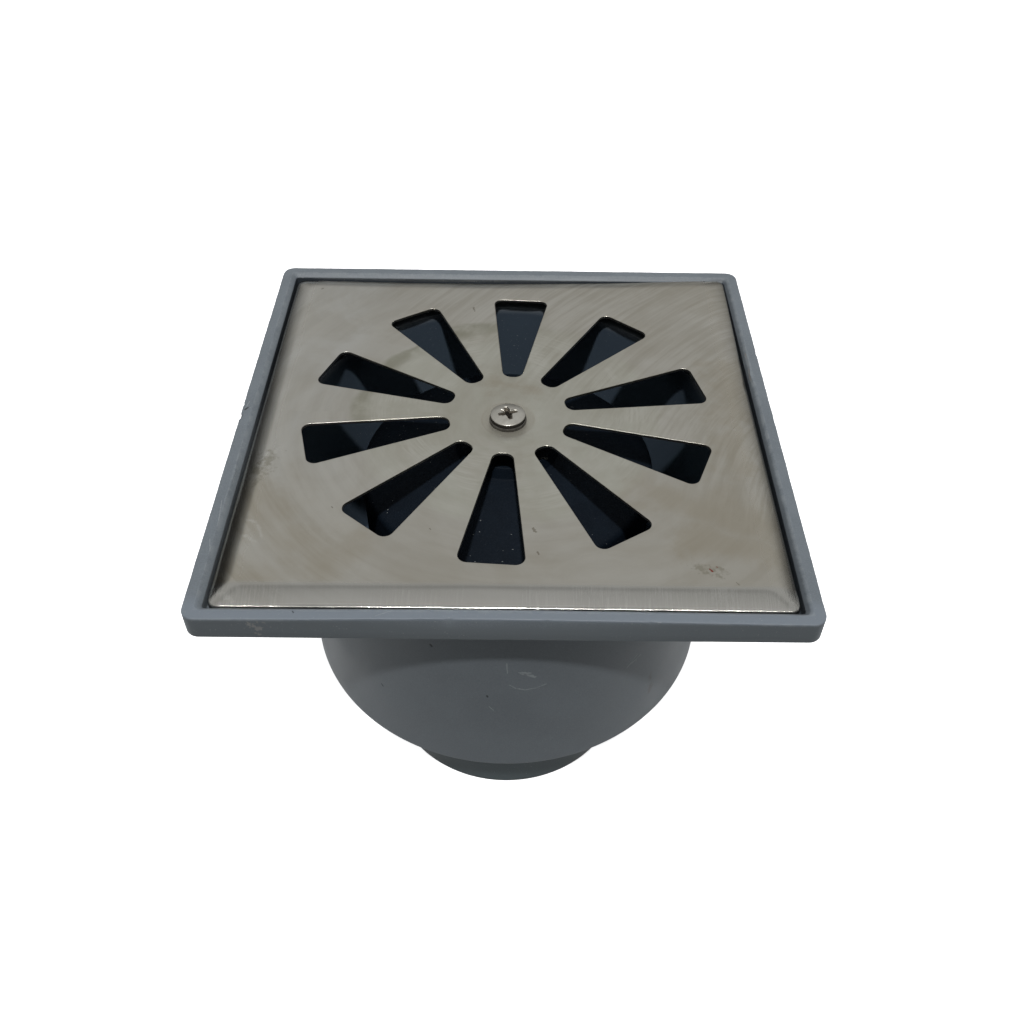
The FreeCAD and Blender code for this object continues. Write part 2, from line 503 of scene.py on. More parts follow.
def make_grate():
    """The pressed sheet, with its slots cut and the dents and warp of the real one."""
    top = grate_top
    under = top - sheet
    seat_edge = seat_radius + 1.7
    flat_rings = [seat_edge + 1.7]
    while flat_rings[-1] + flat_ring_gap < crest_reach - 2:
        flat_rings.append(flat_rings[-1] + flat_ring_gap)
    section = [
        (fixing_hole_radius, top - seat_depth, 0.12),
        (seat_flat_radius, top - seat_depth, 7.0),
        (seat_edge, top, 18.0),
    ]
    section += [(reach, top, 0) for reach in flat_rings]
    section += [
        (crest_reach, top, 9.0),
        (crest_reach + border_width * 0.55, top - border_drop * 0.46, 20.0),
        (grate_reach, top - border_drop * 1.05, 0.72),
        (grate_reach, recess_floor, 0.15),
        (grate_reach - sheet, recess_floor, 0.15),
        (grate_reach - sheet, under - border_drop, 0.4),
        (crest_reach - sheet, under, 5.0),
    ]
    section += [(reach, under, 0) for reach in reversed(flat_rings)]
    section += [
        (seat_edge, under, 18.0),
        (seat_flat_radius, under - seat_depth, 7.0),
        (fixing_hole_radius, under - seat_depth, 0.12),
    ]
    grate = skin("grate_sheet", [grate_outline(reach, height) for reach, height in eased(section, 4)])
    cut(grate, make_slot_cutters())
    warp_grate(grate)
    bow_front(grate, recess_floor, 0.5)
    smooth(grate, 32)
    return grate


def warp_grate(grate):
    """Bends the sheet: a back corner stands up, the back edge lies low, and the flat is uneven."""
    for vertex in grate.data.vertices:
        x, y, z = vertex.co / MM
        back_right = math.exp(-((x - 70) ** 2 + (y - 70) ** 2) / (2 * 20 ** 2))
        back_edge = math.exp(-((x + 22) / 42) ** 2 - ((y - 72) / 16) ** 2)
        hub = math.hypot(x, y)
        lift = 1.5 * back_right - 0.7 * back_edge
        lift += 0.07 * rough(x, y, 3, 26) * hump(hub, 42, 30)
        if z < recess_floor + 0.5:
            lift = max(lift, 0)
        vertex.co.z += lift * MM


# The washer and the screw


def turned(name, section):
    """A small turned piece from its closed section."""
    return skin(name, [outline(reach, reach, height, round_points) for reach, height in eased(section, 4)])


def make_washer():
    """The flat washer, with its stamped round edge."""
    washer = turned("flat_washer", [
        (fixing_hole_radius, washer_low.z, 0.1),
        (washer_radius, washer_low.z, 0.1),
        (washer_radius, washer_high.z, 0.3),
        (fixing_hole_radius, washer_high.z, 0.1),
    ])
    seat_piece(washer)
    smooth(washer, 40)
    return washer


def seat_piece(piece):
    """Moves a piece that was turned about the slots' centre to the seat."""
    piece.data.transform(Matrix.Translation((0, -seat_offset * MM, 0)))


def cross_outline(span, width, height):
    """The outline of the cross recess at a height."""
    reach = span / 2
    side = width / 2
    quarter = [
        (reach, -side * 0.7),
        (reach + 0.12, 0),
        (reach, side * 0.7),
        (side * 1.25, side),
        (side, side * 1.25),
    ]
    places = []
    for turn in range(4):
        spin = Matrix.Rotation(cross_turn + turn * math.pi / 2, 3, "Z")
        places += [spin @ Vector((x, y, height)) for x, y in quarter]
    return places


# Where the driver slipped: x, y, turn, length, width and depth, in millimetres
driver_gouges = [
    (-1.5, 0.9, 2.6, 2.0, 1.3, 0.5),
    (1.7, 0.8, 0.5, 1.7, 1.2, 0.45),
    (-1.2, -1.1, 4.1, 1.5, 0.9, 0.4),
]


def make_gouge(name, x, y, angle, length, width, depth):
    """One of the gouges that a slipping driver left beside the recess, as a cutter."""
    top = crown + 0.3
    spin = Matrix.Translation((x, y, 0)) @ Matrix.Rotation(angle, 4, "Z")
    shape = [(0.5, 0), (0.25, 0.5), (-0.3, 0.45), (-0.5, 0), (-0.2, -0.5), (0.3, -0.4)]
    outlines = []
    for height, share in ((crown - depth, 0.35), (crown - depth * 0.3, 0.9), (top, 1.3)):
        outlines.append([spin @ Vector((length * share * u, width * share * v, height)) for u, v in shape])
    return skin(name, outlines, closed=False)


def make_screw():
    """The pan head screw, with a cross recess that has been driven hard and slipped in."""
    crown_rise = crown - head_seat - head_side
    dome_radius = (head_radius ** 2 + crown_rise ** 2) / (2 * crown_rise)
    section = [
        (0.3, screw_tip + 0.3, 0),
        (shank_radius, screw_tip + screw_point, 0.2),
        (shank_radius, head_seat, 0.1),
        (head_radius, head_seat, 0.2),
        (head_radius, head_seat + head_side, 0.22),
    ]
    for reach in (4.2, 3.6, 3.0, 2.4, 1.8, 1.2, 0.6, 0.2):
        section.append((reach, crown - dome_radius + math.sqrt(dome_radius ** 2 - reach ** 2), 0))
    screw = turned("fixing_screw", section)
    for place in ("bottom", "top"):
        fill_small_hole(screw, place)
    cross = skin("cross cutter", [
        cross_outline(cross_floor_span * 0.5, cross_floor_width * 0.6, crown - cross_depth),
        cross_outline(cross_floor_span, cross_floor_width, crown - cross_depth + 0.3),
        cross_outline(cross_span - 0.5, cross_width, crown - 0.35),
        cross_outline(cross_span + 0.1, cross_width * 1.25, crown - 0.15),
        cross_outline(cross_span + 0.3, cross_width * 1.4, crown + 0.2),
    ], closed=False)
    cut(screw, cross)
    for index, gouge in enumerate(driver_gouges):
        cut(screw, make_gouge("gouge %d" % index, *gouge))
    sharp = math.radians(35)
    apply_modifier(screw, "BEVEL", width=0.06 * MM, segments=2, limit_method="ANGLE", angle_limit=sharp)
    seat_piece(screw)
    smooth(screw, 40)
    return screw


def fill_small_hole(screw, place):
    """Closes the tiny hole that the skin leaves on the screw's axis, at its tip or on its crown."""
    heights = [vertex.co.z for vertex in screw.data.vertices]
    level = min(heights) if place == "bottom" else max(heights)
    chosen = [vertex.index for vertex in screw.data.vertices if abs(vertex.co.z - level) < 0.001 * MM]
    make_active(screw)
    bpy.ops.object.mode_set(mode="EDIT")
    select_points(screw, chosen)
    bpy.ops.mesh.merge(type="CENTER")
    bpy.ops.object.mode_set(mode="OBJECT")


# Node helpers


def set_socket(tree, socket, value):
    """Links a socket to the input, or sets a plain value on it."""
    if isinstance(value, bpy.types.NodeSocket):
        tree.links.new(value, socket)
    else:
        socket.default_value = value


def set_inputs(tree, node, values):
    """Puts values or links on the named inputs of a node."""
    for key, value in values.items():
        set_socket(tree, node.inputs[key], value)


def add_node(tree, kind, values, **settings):
    """A new node with its settings, and values or links on its inputs."""
    node = tree.nodes.new(kind)
    for name, setting in settings.items():
        setattr(node, name, setting)
    set_inputs(tree, node, values)
    return node


def calc(tree, operation, *values, clamp=False):
    """The result of a Math node."""
    node = add_node(tree, "ShaderNodeMath", dict(enumerate(values)), operation=operation, use_clamp=clamp)
    return node.outputs[0]


def vector_calc(tree, operation, *values, output="Vector"):
    """The result of a Vector Math node."""
    node = add_node(tree, "ShaderNodeVectorMath", dict(enumerate(values)), operation=operation)
    return node.outputs[output]


def fade(tree, value, low, high, to_low=0.0, to_high=1.0):
    """A smooth step from to_low where the value is low to to_high where it is high."""
    values = {"Value": value, "From Min": low, "From Max": high, "To Min": to_low, "To Max": to_high}
    node = add_node(tree, "ShaderNodeMapRange", values, interpolation_type="SMOOTHSTEP")
    return node.outputs["Result"]


def noise_of(tree, place, scale, detail, roughness, distortion=0.0):
    """A noise value from 0 to 1."""
    values = {"Vector": place, "Scale": scale, "Detail": detail}
    values |= {"Roughness": roughness, "Distortion": distortion}
    return add_node(tree, "ShaderNodeTexNoise", values).outputs["Fac"]


def blend_colour(tree, share, first, second, blend="MIX"):
    """The first colour turning into the second, or the second laid over it in another way."""
    node = tree.nodes.new("ShaderNodeMix")
    node.data_type = "RGBA"
    node.blend_type = blend
    set_inputs(tree, node, {0: share, 6: first, 7: second})
    return node.outputs[2]


def painted(tree, base, layers):
    """The base with paints laid over it in turn: each has its colour, its mask and its share."""
    for paint, mask, share in layers:
        base = blend_colour(tree, product(tree, mask, share), base, colour(*paint))
    return base


def product(tree, *values):
    """The values multiplied together, with plain ones left out."""
    result = values[0]
    for value in values[1:]:
        if value != 1.0:
            result = calc(tree, "MULTIPLY", result, value)
    return result


def less(tree, value, mask, share):
    """The value, cut down by the share where the mask is."""
    return calc(tree, "MULTIPLY", value, calc(tree, "MULTIPLY_ADD", mask, -share, 1.0))


def mix_values(tree, share, first, second):
    """The first value turning into the second."""
    return calc(tree, "MULTIPLY_ADD", share, calc(tree, "SUBTRACT", second, first), first)


def colour(red, green, blue):
    """A linear colour with full alpha."""
    return (red, green, blue, 1.0)


def strongest(tree, masks):
    """The highest of several masks."""
    result = masks[0]
    for mask in masks[1:]:
        result = calc(tree, "MAXIMUM", result, mask)
    return result


def stretched(tree, place, x, y, z):
    """The place with each axis scaled, so that a noise read there is drawn out."""
    return vector_calc(tree, "MULTIPLY", place, (x, y, z))


def axes(tree, place):
    """The three coordinates of the place."""
    return add_node(tree, "ShaderNodeSeparateXYZ", {0: place}).outputs


def from_axis(tree, place, forward=0.0):
    """How far the place is from the pot's axis, or from an axis that lies forward of it."""
    centred = vector_calc(tree, "ADD", place, (0, forward, 0))
    return vector_calc(tree, "LENGTH", stretched(tree, centred, 1, 1, 0), output="Value")


def from_middle(tree, parts):
    """How far the place is from the middle, measured square to the frame's sides."""
    return calc(tree, "MAXIMUM", calc(tree, "ABSOLUTE", parts["X"]), calc(tree, "ABSOLUTE", parts["Y"]))


def new_group(name, inputs, outputs):
    """An empty shader node group with named sockets, and its inner ends."""
    group = bpy.data.node_groups.new(name, "ShaderNodeTree")
    for label, kind, value in inputs:
        socket = group.interface.new_socket(label, in_out="INPUT", socket_type=kind)
        socket.default_value = value
    for label in outputs:
        group.interface.new_socket(label, in_out="OUTPUT", socket_type="NodeSocketFloat")
    entry = group.nodes.new("NodeGroupInput")
    leave = group.nodes.new("NodeGroupOutput")
    return group, entry.outputs, leave.inputs


def use_group(tree, group, values):
    """A node group placed in a material with its own values."""
    node = tree.nodes.new("ShaderNodeGroup")
    node.node_tree = group
    set_inputs(tree, node, values)
    return node.outputs


# Effects that several materials share


def make_mark_group():
    """A scratch or a patch between two places, ragged at its edge and broken up inside."""
    group, given, result = new_group("mark", [
        ("Place", "NodeSocketVector", (0, 0, 0)),
        ("Start", "NodeSocketVector", (0, 0, 0)),
        ("End", "NodeSocketVector", (1, 0, 0)),
        ("Width", "NodeSocketFloat", 0.2),
        ("Raggedness", "NodeSocketFloat", 0.5),
        ("Grain", "NodeSocketFloat", 1.0),
        ("Core", "NodeSocketFloat", 0.45),
    ], ["Mask"])
    reach = vector_calc(group, "SUBTRACT", given["End"], given["Start"])
    offset = vector_calc(group, "SUBTRACT", given["Place"], given["Start"])
    along = vector_calc(group, "DOT_PRODUCT", offset, reach, output="Value")
    length = vector_calc(group, "DOT_PRODUCT", reach, reach, output="Value")
    share = calc(group, "DIVIDE", along, length, clamp=True)
    scaled = add_node(group, "ShaderNodeVectorMath", {0: reach, "Scale": share}, operation="SCALE")
    distance = vector_calc(group, "DISTANCE", offset, scaled.outputs["Vector"], output="Value")
    breakup = calc(group, "SUBTRACT", noise_of(group, given["Place"], given["Grain"], 4, 0.65), 0.5)
    ragged = product(group, breakup, given["Raggedness"], 3.0)
    edge = calc(group, "ADD", calc(group, "DIVIDE", distance, given["Width"]), ragged)
    group.links.new(fade(group, edge, 1.0, given["Core"]), result["Mask"])
    return group


def make_stroke_group():
    """Fine strokes that run in arcs about a centre, as a cloth or an abrasive pad leaves them."""
    group, given, result = new_group("arc strokes", [
        ("Place", "NodeSocketVector", (0, 0, 0)),
        ("Centre", "NodeSocketVector", (0, 0, 0)),
        ("Fineness", "NodeSocketFloat", 1.0),
        ("Turns", "NodeSocketFloat", 4.0),
    ], ["Strokes"])
    offset = vector_calc(group, "SUBTRACT", given["Place"], given["Centre"])
    parts = axes(group, offset)
    radius = from_axis(group, offset)
    angle = calc(group, "ARCTAN2", parts["Y"], parts["X"])
    values = {
        "X": calc(group, "MULTIPLY", radius, given["Fineness"]),
        "Y": calc(group, "MULTIPLY", angle, given["Turns"]),
    }
    drawn = add_node(group, "ShaderNodeCombineXYZ", values).outputs["Vector"]
    group.links.new(fade(group, noise_of(group, drawn, 1.0, 5, 0.62), 0.32, 0.68), result["Strokes"])
    return group


def make_grain_group():
    """The fine grain and the broad mottling of a moulded or rolled surface."""
    group, given, result = new_group("grain", [
        ("Place", "NodeSocketVector", (0, 0, 0)),
        ("Grain Size", "NodeSocketFloat", 0.4),
        ("Mottle Size", "NodeSocketFloat", 18.0),
    ], ["Grain", "Mottle"])
    fine = noise_of(group, given["Place"], calc(group, "DIVIDE", 1.0, given["Grain Size"]), 3, 0.6)
    broad = noise_of(group, given["Place"], calc(group, "DIVIDE", 1.0, given["Mottle Size"]), 4, 0.55, 0.4)
    group.links.new(fade(group, fine, 0.3, 0.7), result["Grain"])
    group.links.new(fade(group, broad, 0.3, 0.7), result["Mottle"])
    return group


mark = make_mark_group()
arc_strokes = make_stroke_group()
grain = make_grain_group()


def marks_mask(tree, place, marks, core=0.45):
    """The listed marks together: start, end, width, raggedness and grain. A low core softens them."""
    masks = []
    for values in marks:
        given = dict(zip(("Start", "End", "Width", "Raggedness", "Grain"), values))
        masks.append(use_group(tree, mark, {"Place": place, "Core": core, **given})["Mask"])
    return strongest(tree, masks)


def strokes_about(tree, place, centre, fineness, turns):
    """Fine strokes in arcs about a centre."""
    values = {"Place": place, "Centre": centre, "Fineness": fineness, "Turns": turns}
    return use_group(tree, arc_strokes, values)["Strokes"]


def grain_of(tree, place, grain_size, mottle_size):
    """The grain and the mottling at their own sizes."""
    return use_group(tree, grain, {"Place": place, "Grain Size": grain_size, "Mottle Size": mottle_size})


def mottled(tree, texture, darker, lighter):
    """A base colour that drifts between two tones with the mottling."""
    return blend_colour(tree, texture["Mottle"], colour(*darker), colour(*lighter))


def new_material(name):
    """A material's tree, its shader, and the place on the object in millimetres."""
    material = bpy.data.materials.new(name)
    material.use_nodes = True
    tree = material.node_tree
    shader = tree.nodes["Principled BSDF"]
    coordinates = tree.nodes.new("ShaderNodeTexCoord").outputs["Object"]
    place = vector_calc(tree, "MULTIPLY", coordinates, (1 / MM, 1 / MM, 1 / MM))
    return material, tree, shader, place


def bump(tree, height, distance, normal=None):
    """A Bump node's normal; the distance is in millimetres."""
    values = {"Height": height, "Distance": distance * MM, "Strength": 1.0}
    if normal is not None:
        values["Normal"] = normal
    return add_node(tree, "ShaderNodeBump", values).outputs["Normal"]


# The grey plastic of the body

rim_scratches = [
    ((-72.8, -35.9, 128), (-72.0, -44.4, 128), 0.16, 0.9, 1.6),
    ((-72.9, -49.6, 128), (-71.7, -54.9, 128), 0.15, 0.9, 1.8),
    ((-73.8, 2.0, 128), (-73.4, 4.0, 128), 0.2, 1.2, 1.4),
    ((-29.8, -73.4, 128), (-25.8, -71.6, 128), 0.12, 0.5, 2.0),
    ((33.0, -74.6, 128), (36.0, -74.4, 127.8), 0.22, 1.0, 1.5),
    ((-37.8, -75, 127.9), (-13.2, -75, 127.9), 0.2, 1.1, 0.8),
    ((70.9, 38, 128), (70.6, 14, 128), 0.3, 0.9, 0.7),
    ((70.9, 6.1, 128), (70.8, -16.6, 128), 0.16, 0.9, 0.8),
]
face_scuffs = [
    ((-58.6, -75, 126.2), (-56.6, -75, 124.6), 0.8, 1.9, 1.3),
    ((-58.0, -75, 123.2), (-57.0, -75, 122.6), 0.4, 1.6, 1.5),
    ((-57.6, -75, 127.2), (-55.0, -75, 126.8), 0.25, 1.3, 1.6),
    ((-20.0, -75, 124.0), (-14.0, -75, 124.4), 0.16, 1.3, 1.2),
    ((22.0, -75, 126.0), (27.0, -75, 125.2), 0.18, 1.2, 1.2),
]
pot_scratches = [
    ((34.1, -52.4, 81.3), (37.6, -49.9, 83.4), 0.22, 1.1, 1.2),
    ((33.8, -52.5, 80.7), (36.4, -50.8, 84.4), 0.16, 1.1, 1.4),
    ((0.5, -62.5, 95.6), (0.7, -62.5, 91.3), 0.2, 0.7, 1.6),
    ((1.3, -62.5, 86.0), (3.0, -62.4, 84.4), 0.18, 0.9, 1.5),
    ((3.0, -62.4, 84.4), (5.5, -62.3, 83.6), 0.2, 0.9, 1.5),
    ((5.5, -62.3, 83.6), (8.4, -61.9, 84.1), 0.2, 0.9, 1.5),
    ((8.4, -61.9, 84.1), (11.1, -61.5, 85.4), 0.2, 0.9, 1.5),
    ((4.6, -62.3, 91.4), (6.4, -62.2, 90.6), 0.7, 1.6, 1.6),
    ((6.2, -62.2, 90.2), (8.0, -62.0, 89.2), 0.5, 1.6, 1.6),
    ((-4.3, -62.4, 75.7), (-3.1, -62.4, 74.1), 0.16, 1.0, 1.4),
]
brown_scuff = [
    ((42.2, -46.2, 69.5), (42.9, -45.4, 59.5), 1.3, 1.6, 0.5),
]
torn_burr = [
    ((71.4, 30.0, 128), (70.9, 15.0, 127.8), 0.3, 0.9, 0.9),
]
dark_nicks = [
    ((-35.2, -51.7, 70.8), (-34.8, -51.9, 70.1), 0.4, 0.8, 1.4),
    ((-4.8, -62.3, 80.8), (-4.7, -62.3, 80.3), 0.35, 0.7, 1.4),
    ((-19.4, -59.4, 99.4), (-19.0, -59.6, 98.7), 0.4, 0.8, 1.4),
    ((-73.9, 0.5, 128), (-73.2, 1.4, 128), 0.3, 1.0, 1.5),
    ((-74.7, -3.6, 128), (-74.6, -1.2, 127.6), 0.3, 0.8, 1.4),
    ((-37.0, 67.3, 126), (-36.4, 66.9, 124.5), 0.5, 0.8, 1.2),
    ((-12.9, -74.9, 127.9), (-12.4, -74.9, 127.4), 0.3, 0.6, 1.6),
    ((-49.0, -72.2, 128), (-48.7, -72.6, 128), 0.16, 0.5, 1.6),
]


def edge_nearness(tree, place):
    """1 on the frame's outer top edge and on the recess's edge, falling off within half a millimetre."""
    parts = axes(tree, place)
    reach = from_middle(tree, parts)
    near_top = fade(tree, parts["Z"], rim_top - 1.0, rim_top - 0.25)
    outer = fade(tree, reach, side_reach - 0.55, side_reach - 0.1)
    inner = fade(tree, reach, rim_inner_reach + 0.4, rim_inner_reach)
    return product(tree, near_top, calc(tree, "MAXIMUM", outer, inner))


def painted_shade_inside_pot(tree, place):
    """1 inside the pot below the grate's recess, where shade is painted onto the plastic."""
    height = axes(tree, place)["Z"]
    below = fade(tree, height, recess_floor + 0.2, recess_floor - 3.0)
    above = fade(tree, height, pot_underside + 0.5, pot_underside + 1.5)
    inward = fade(tree, from_axis(tree, place), pot_radius - 1.0, pot_radius - wall + 0.2)
    return product(tree, below, above, inward)


def painted_recess_shade(tree, place):
    """Painted shade: 1 in the gap round the grate, less at the front left, and a little on the shoulder on
    the right.
    """
    parts = axes(tree, place)
    reach = from_middle(tree, parts)
    inner = fade(tree, reach, grate_reach - 1.2, grate_reach - 0.2)
    outer = fade(tree, reach, rim_inner_reach + 0.4, rim_inner_reach - 0.2)
    above = fade(tree, parts["Z"], recess_floor - 1.8, recess_floor - 0.8)
    low = fade(tree, parts["Z"], rim_top - 0.9, rim_top - 1.5)
    on_shoulder = fade(tree, parts["Z"], rim_top - 0.2, rim_top - 0.7)
    shoulder = product(tree, on_shoulder, fade(tree, parts["X"], 64.0, 69.0), 0.6)
    front_left = product(tree, fade(tree, parts["X"], -60.0, -66.0), fade(tree, parts["Y"], 25.0, -15.0))
    gap = less(tree, product(tree, inner, outer, above), front_left, 0.8)
    return product(tree, gap, calc(tree, "MAXIMUM", low, shoulder))


def make_grey_plastic():
    """Moulded grey pipe plastic: faint mottling, whitened edges, scratches, scuffs and a few dark nicks,
    with painted shade on the outlet, inside the pot, on the front face and in the gap round the grate, and
    painted light on the front of the rim's top.
    """
    material, tree, shader, place = new_material("grey moulded plastic")
    parts = axes(tree, place)
    outlet = fade(tree, parts["Z"], pot_underside - 0.1, pot_underside - 2.0)
    on_top = fade(tree, parts["Z"], rim_top - 0.6, rim_top - 0.3)
    at_front = fade(tree, parts["Y"], -66.0, -71.5)
    on_face = fade(tree, parts["Y"], -74.2, -74.7)
    dust = fade(tree, noise_of(tree, place, 2.4, 1, 0.5), 0.70, 0.77)
    dusty = fade(tree, noise_of(tree, place, 0.05, 2, 0.5), 0.40, 0.60, 0.15, 0.6)
    broken = fade(tree, noise_of(tree, place, 0.35, 4, 0.7), 0.38, 0.62)
    worn = product(tree, edge_nearness(tree, place), broken)
    scratches = marks_mask(tree, place, rim_scratches)
    faint = marks_mask(tree, place, pot_scratches)
    nicks = marks_mask(tree, place, dark_nicks)
    texture = grain_of(tree, place, 0.35, 16.0)
    base = mottled(tree, texture, (0.196, 0.222, 0.246), (0.222, 0.250, 0.276))
    speckle = fade(tree, texture["Grain"], 0.0, 1.0, 0.94, 1.06)
    shade = add_node(tree, "ShaderNodeCombineColor", {0: speckle, 1: speckle, 2: speckle}).outputs[0]
    base = blend_colour(tree, 1.0, base, shade, "MULTIPLY")
    base = painted(tree, base, [
        # Painted shade: the outlet, the same plastic as the pot, is painted darker.
        ((0.082, 0.110, 0.116), outlet, 0.8),
        # Painted shade: the inside of the pot is painted dark.
        ((0.068, 0.094, 0.126), painted_shade_inside_pot(tree, place), 1.0),
        # Painted light: the front of the rim's top is painted lighter.
        ((0.238, 0.272, 0.312), product(tree, at_front, on_top), 1.0),
        # Painted shade: the frame's front face is painted darker than its top.
        ((0.176, 0.198, 0.214), less(tree, on_face, on_top, 1.0), 1.0),
        # Painted shade: the gap round the grate and the right shoulder are painted nearly black.
        ((0.020, 0.027, 0.036), painted_recess_shade(tree, place), 0.85),
        ((0.42, 0.45, 0.46), dust, dusty),
        ((0.36, 0.39, 0.41), worn, 0.38),
        ((0.34, 0.335, 0.33), marks_mask(tree, place, face_scuffs), 0.75),
        ((0.44, 0.47, 0.49), scratches, 0.5),
        ((0.44, 0.48, 0.49), faint, 0.7),
        ((0.13, 0.115, 0.095), marks_mask(tree, place, brown_scuff, -0.4), 0.5),
        ((0.27, 0.235, 0.215), marks_mask(tree, place, torn_burr), 0.7),
        ((0.03, 0.033, 0.036), nicks, 0.85),
    ])
    dull = calc(tree, "MULTIPLY_ADD", texture["Mottle"], 0.08, 0.42)
    dull = calc(tree, "MULTIPLY_ADD", calc(tree, "MAXIMUM", scratches, worn), 0.2, dull)
    height = calc(tree, "MULTIPLY_ADD", texture["Grain"], 0.35, product(tree, texture["Mottle"], 0.3))
    raised = calc(tree, "MULTIPLY_ADD", nicks, -2.0, calc(tree, "MAXIMUM", scratches, faint))
    set_inputs(tree, shader, {
        "Base Color": base,
        "Roughness": dull,
        "Specular IOR Level": 0.45,
        "Normal": bump(tree, raised, 0.04, bump(tree, height, 0.02)),
    })
    return material


# The dark plastic of the bell

moulding_scraps = [
    ((-14.2, -6.0, 119.6), (-12.6, -8.6, 119.9), 0.35, 1.4, 1.4),
    ((-15.4, -5.2, 118.2), (-13.0, -7.2, 120.0), 0.2, 1.0, 1.6),
    ((9.3, -9.6, 120.0), (13.6, -8.2, 118.4), 0.3, 1.4, 1.3),
    ((11.0, -10.4, 119.0), (14.8, -12.5, 116.4), 0.16, 1.2, 1.4),
    ((15.8, -3.4, 117.0), (19.0, -5.2, 116.2), 0.2, 1.3, 1.3),
]


def make_dark_plastic():
    """Dark blue-grey plastic with a fine pale speckle, and scraps of flash by the pad."""
    material, tree, shader, place = new_material("dark speckled plastic")
    dots = fade(tree, noise_of(tree, place, 3.2, 2, 0.6), 0.60, 0.72)
    specks = fade(tree, noise_of(tree, place, 1.1, 1, 0.5), 0.76, 0.80)
    scraps = marks_mask(tree, place, moulding_scraps)
    texture = grain_of(tree, place, 0.5, 12.0)
    base = mottled(tree, texture, (0.0046, 0.0088, 0.0155), (0.0075, 0.0138, 0.0230))
    base = painted(tree, base, [
        ((0.045, 0.056, 0.070), dots, 0.35),
        ((0.20, 0.21, 0.21), specks, 1.0),
        ((0.34, 0.34, 0.30), scraps, 0.6),
    ])
    set_inputs(tree, shader, {
        "Base Color": base,
        "Roughness": calc(tree, "MULTIPLY_ADD", texture["Grain"], 0.14, 0.55),
        "Specular IOR Level": 0.14,
        "Normal": bump(tree, calc(tree, "ADD", texture["Grain"], scraps), 0.05),
    })
    return material


# The stainless sheet of the grate

sheet_stains = [
    ((-65.6, -25.5, 128.2), (-63.8, -19.4, 128.2), 3.2, 1.7, 0.5),
    ((-65.5, -30.5, 128.2), (-64.8, -28.5, 128.2), 1.2, 1.9, 0.7),
    ((46.5, -57.6, 128.2), (52.0, -59.2, 128.2), 1.9, 2.0, 0.6),
]
bright_rubs = [
    ((-64.2, -18.6, 128.2), (-61.6, -16.2, 128.2), 1.3, 1.8, 0.9),
    ((-67.0, -42.0, 128.2), (-62.5, -44.0, 128.2), 0.8, 1.2, 0.5),
    ((-62.5, -44.0, 128.2), (-60.3, -48.6, 128.2), 0.7, 1.2, 0.5),
    ((-67.5, -46.5, 128.2), (-61.5, -50.5, 128.2), 0.8, 1.4, 0.5),
    ((-68.0, -66.0, 127.5), (-64.0, -68.0, 127.0), 1.6, 1.2, 0.6),
]
brown_patches = [
    ((42.0, -33.0, 128.2), (60.0, -40.0, 128.2), 13.0, 0.9, 0.06),
    ((46.0, -48.0, 128.2), (62.0, -52.0, 128.2), 9.0, 0.9, 0.08),
    ((65.0, 22.0, 128.2), (61.0, -18.0, 128.2), 9.0, 1.2, 0.10),
    ((-62.0, -36.0, 128.2), (-42.0, -56.0, 128.2), 15.0, 0.9, 0.06),
    ((-72.0, -57.0, 128.2), (-54.0, -68.0, 128.2), 11.5, 0.5, 0.10),
    ((-3.0, 14.0, 128.2), (4.0, 12.0, 128.2), 7.0, 1.2, 0.12),
]
sheet_specks = [
    ((6.8, -45.2, 128.2), (7.3, -46.0, 128.2), 0.5, 1.5, 1.2),
    ((7.8, -53.0, 128.2), (8.1, -53.7, 128.2), 0.3, 1.2, 1.4),
    ((-61.0, 62.3, 128.2), (-60.6, 62.6, 128.2), 0.4, 1.0, 1.2),
    ((55.2, -62.2, 128.1), (56.0, -63.4, 127.9), 0.28, 0.6, 1.4),
    ((-19.0, -45.5, 128.2), (-18.8, -45.8, 128.2), 0.25, 0.8, 1.4),
    ((-44.5, -38.0, 128.2), (-44.2, -38.4, 128.2), 0.22, 0.8, 1.4),
    ((-11.5, 52.5, 128.2), (-11.2, 50.5, 128.2), 0.35, 1.2, 1.2),
]
rust_specks = [
    ((49.4, -58.1, 128.2), (49.9, -58.8, 128.2), 0.36, 1.0, 1.6),
    ((51.0, -57.2, 128.2), (51.3, -57.4, 128.2), 0.16, 0.8, 1.6),
]


def border_strokes(tree, place):
    """Fine scratches across the front border."""
    parts = axes(tree, place)
    on_border = fade(tree, parts["Y"], -63.2, -65.5)
    drawn = noise_of(tree, stretched(tree, place, 2.2, 0.12, 0.12), 1.0, 4, 0.65)
    right = fade(tree, parts["X"], -8.0, 18.0, 0.35, 1.0)
    spread = noise_of(tree, stretched(tree, place, 1.0, 0.1, 0.1), 0.09, 2, 0.5)
    patchy = fade(tree, spread, 0.35, 0.6, 0.3, 1.0)
    return product(tree, fade(tree, drawn, 0.42, 0.66), on_border, right, patchy)


def rubbing_strokes(tree, place, far, back_right):
    """Strokes about a far centre at the back right, and wide ones about the hub elsewhere."""
    wide = less(tree, strokes_about(tree, place, (4, 0, 0), 0.34, 1.8), back_right, 0.8)
    strokes = calc(tree, "MAXIMUM", product(tree, far, back_right), product(tree, wide, 0.9))
    firm = fade(tree, noise_of(tree, place, 0.03, 3, 0.55, 0.6), 0.40, 0.60)
    return product(tree, strokes, calc(tree, "MULTIPLY_ADD", firm, 0.6, 0.4))


def hub_scratches(tree, place, distance):
    """Fine scratches that come and go in a ring about the hub."""
    fine = strokes_about(tree, place, (-2, 2, 0), 1.5, 3.0)
    patchy = fade(tree, noise_of(tree, place, 0.07, 3, 0.6), 0.45, 0.62)
    return product(tree, fine, patchy, fade(tree, distance, 52.0, 30.0), fade(tree, distance, 14.0, 22.0))


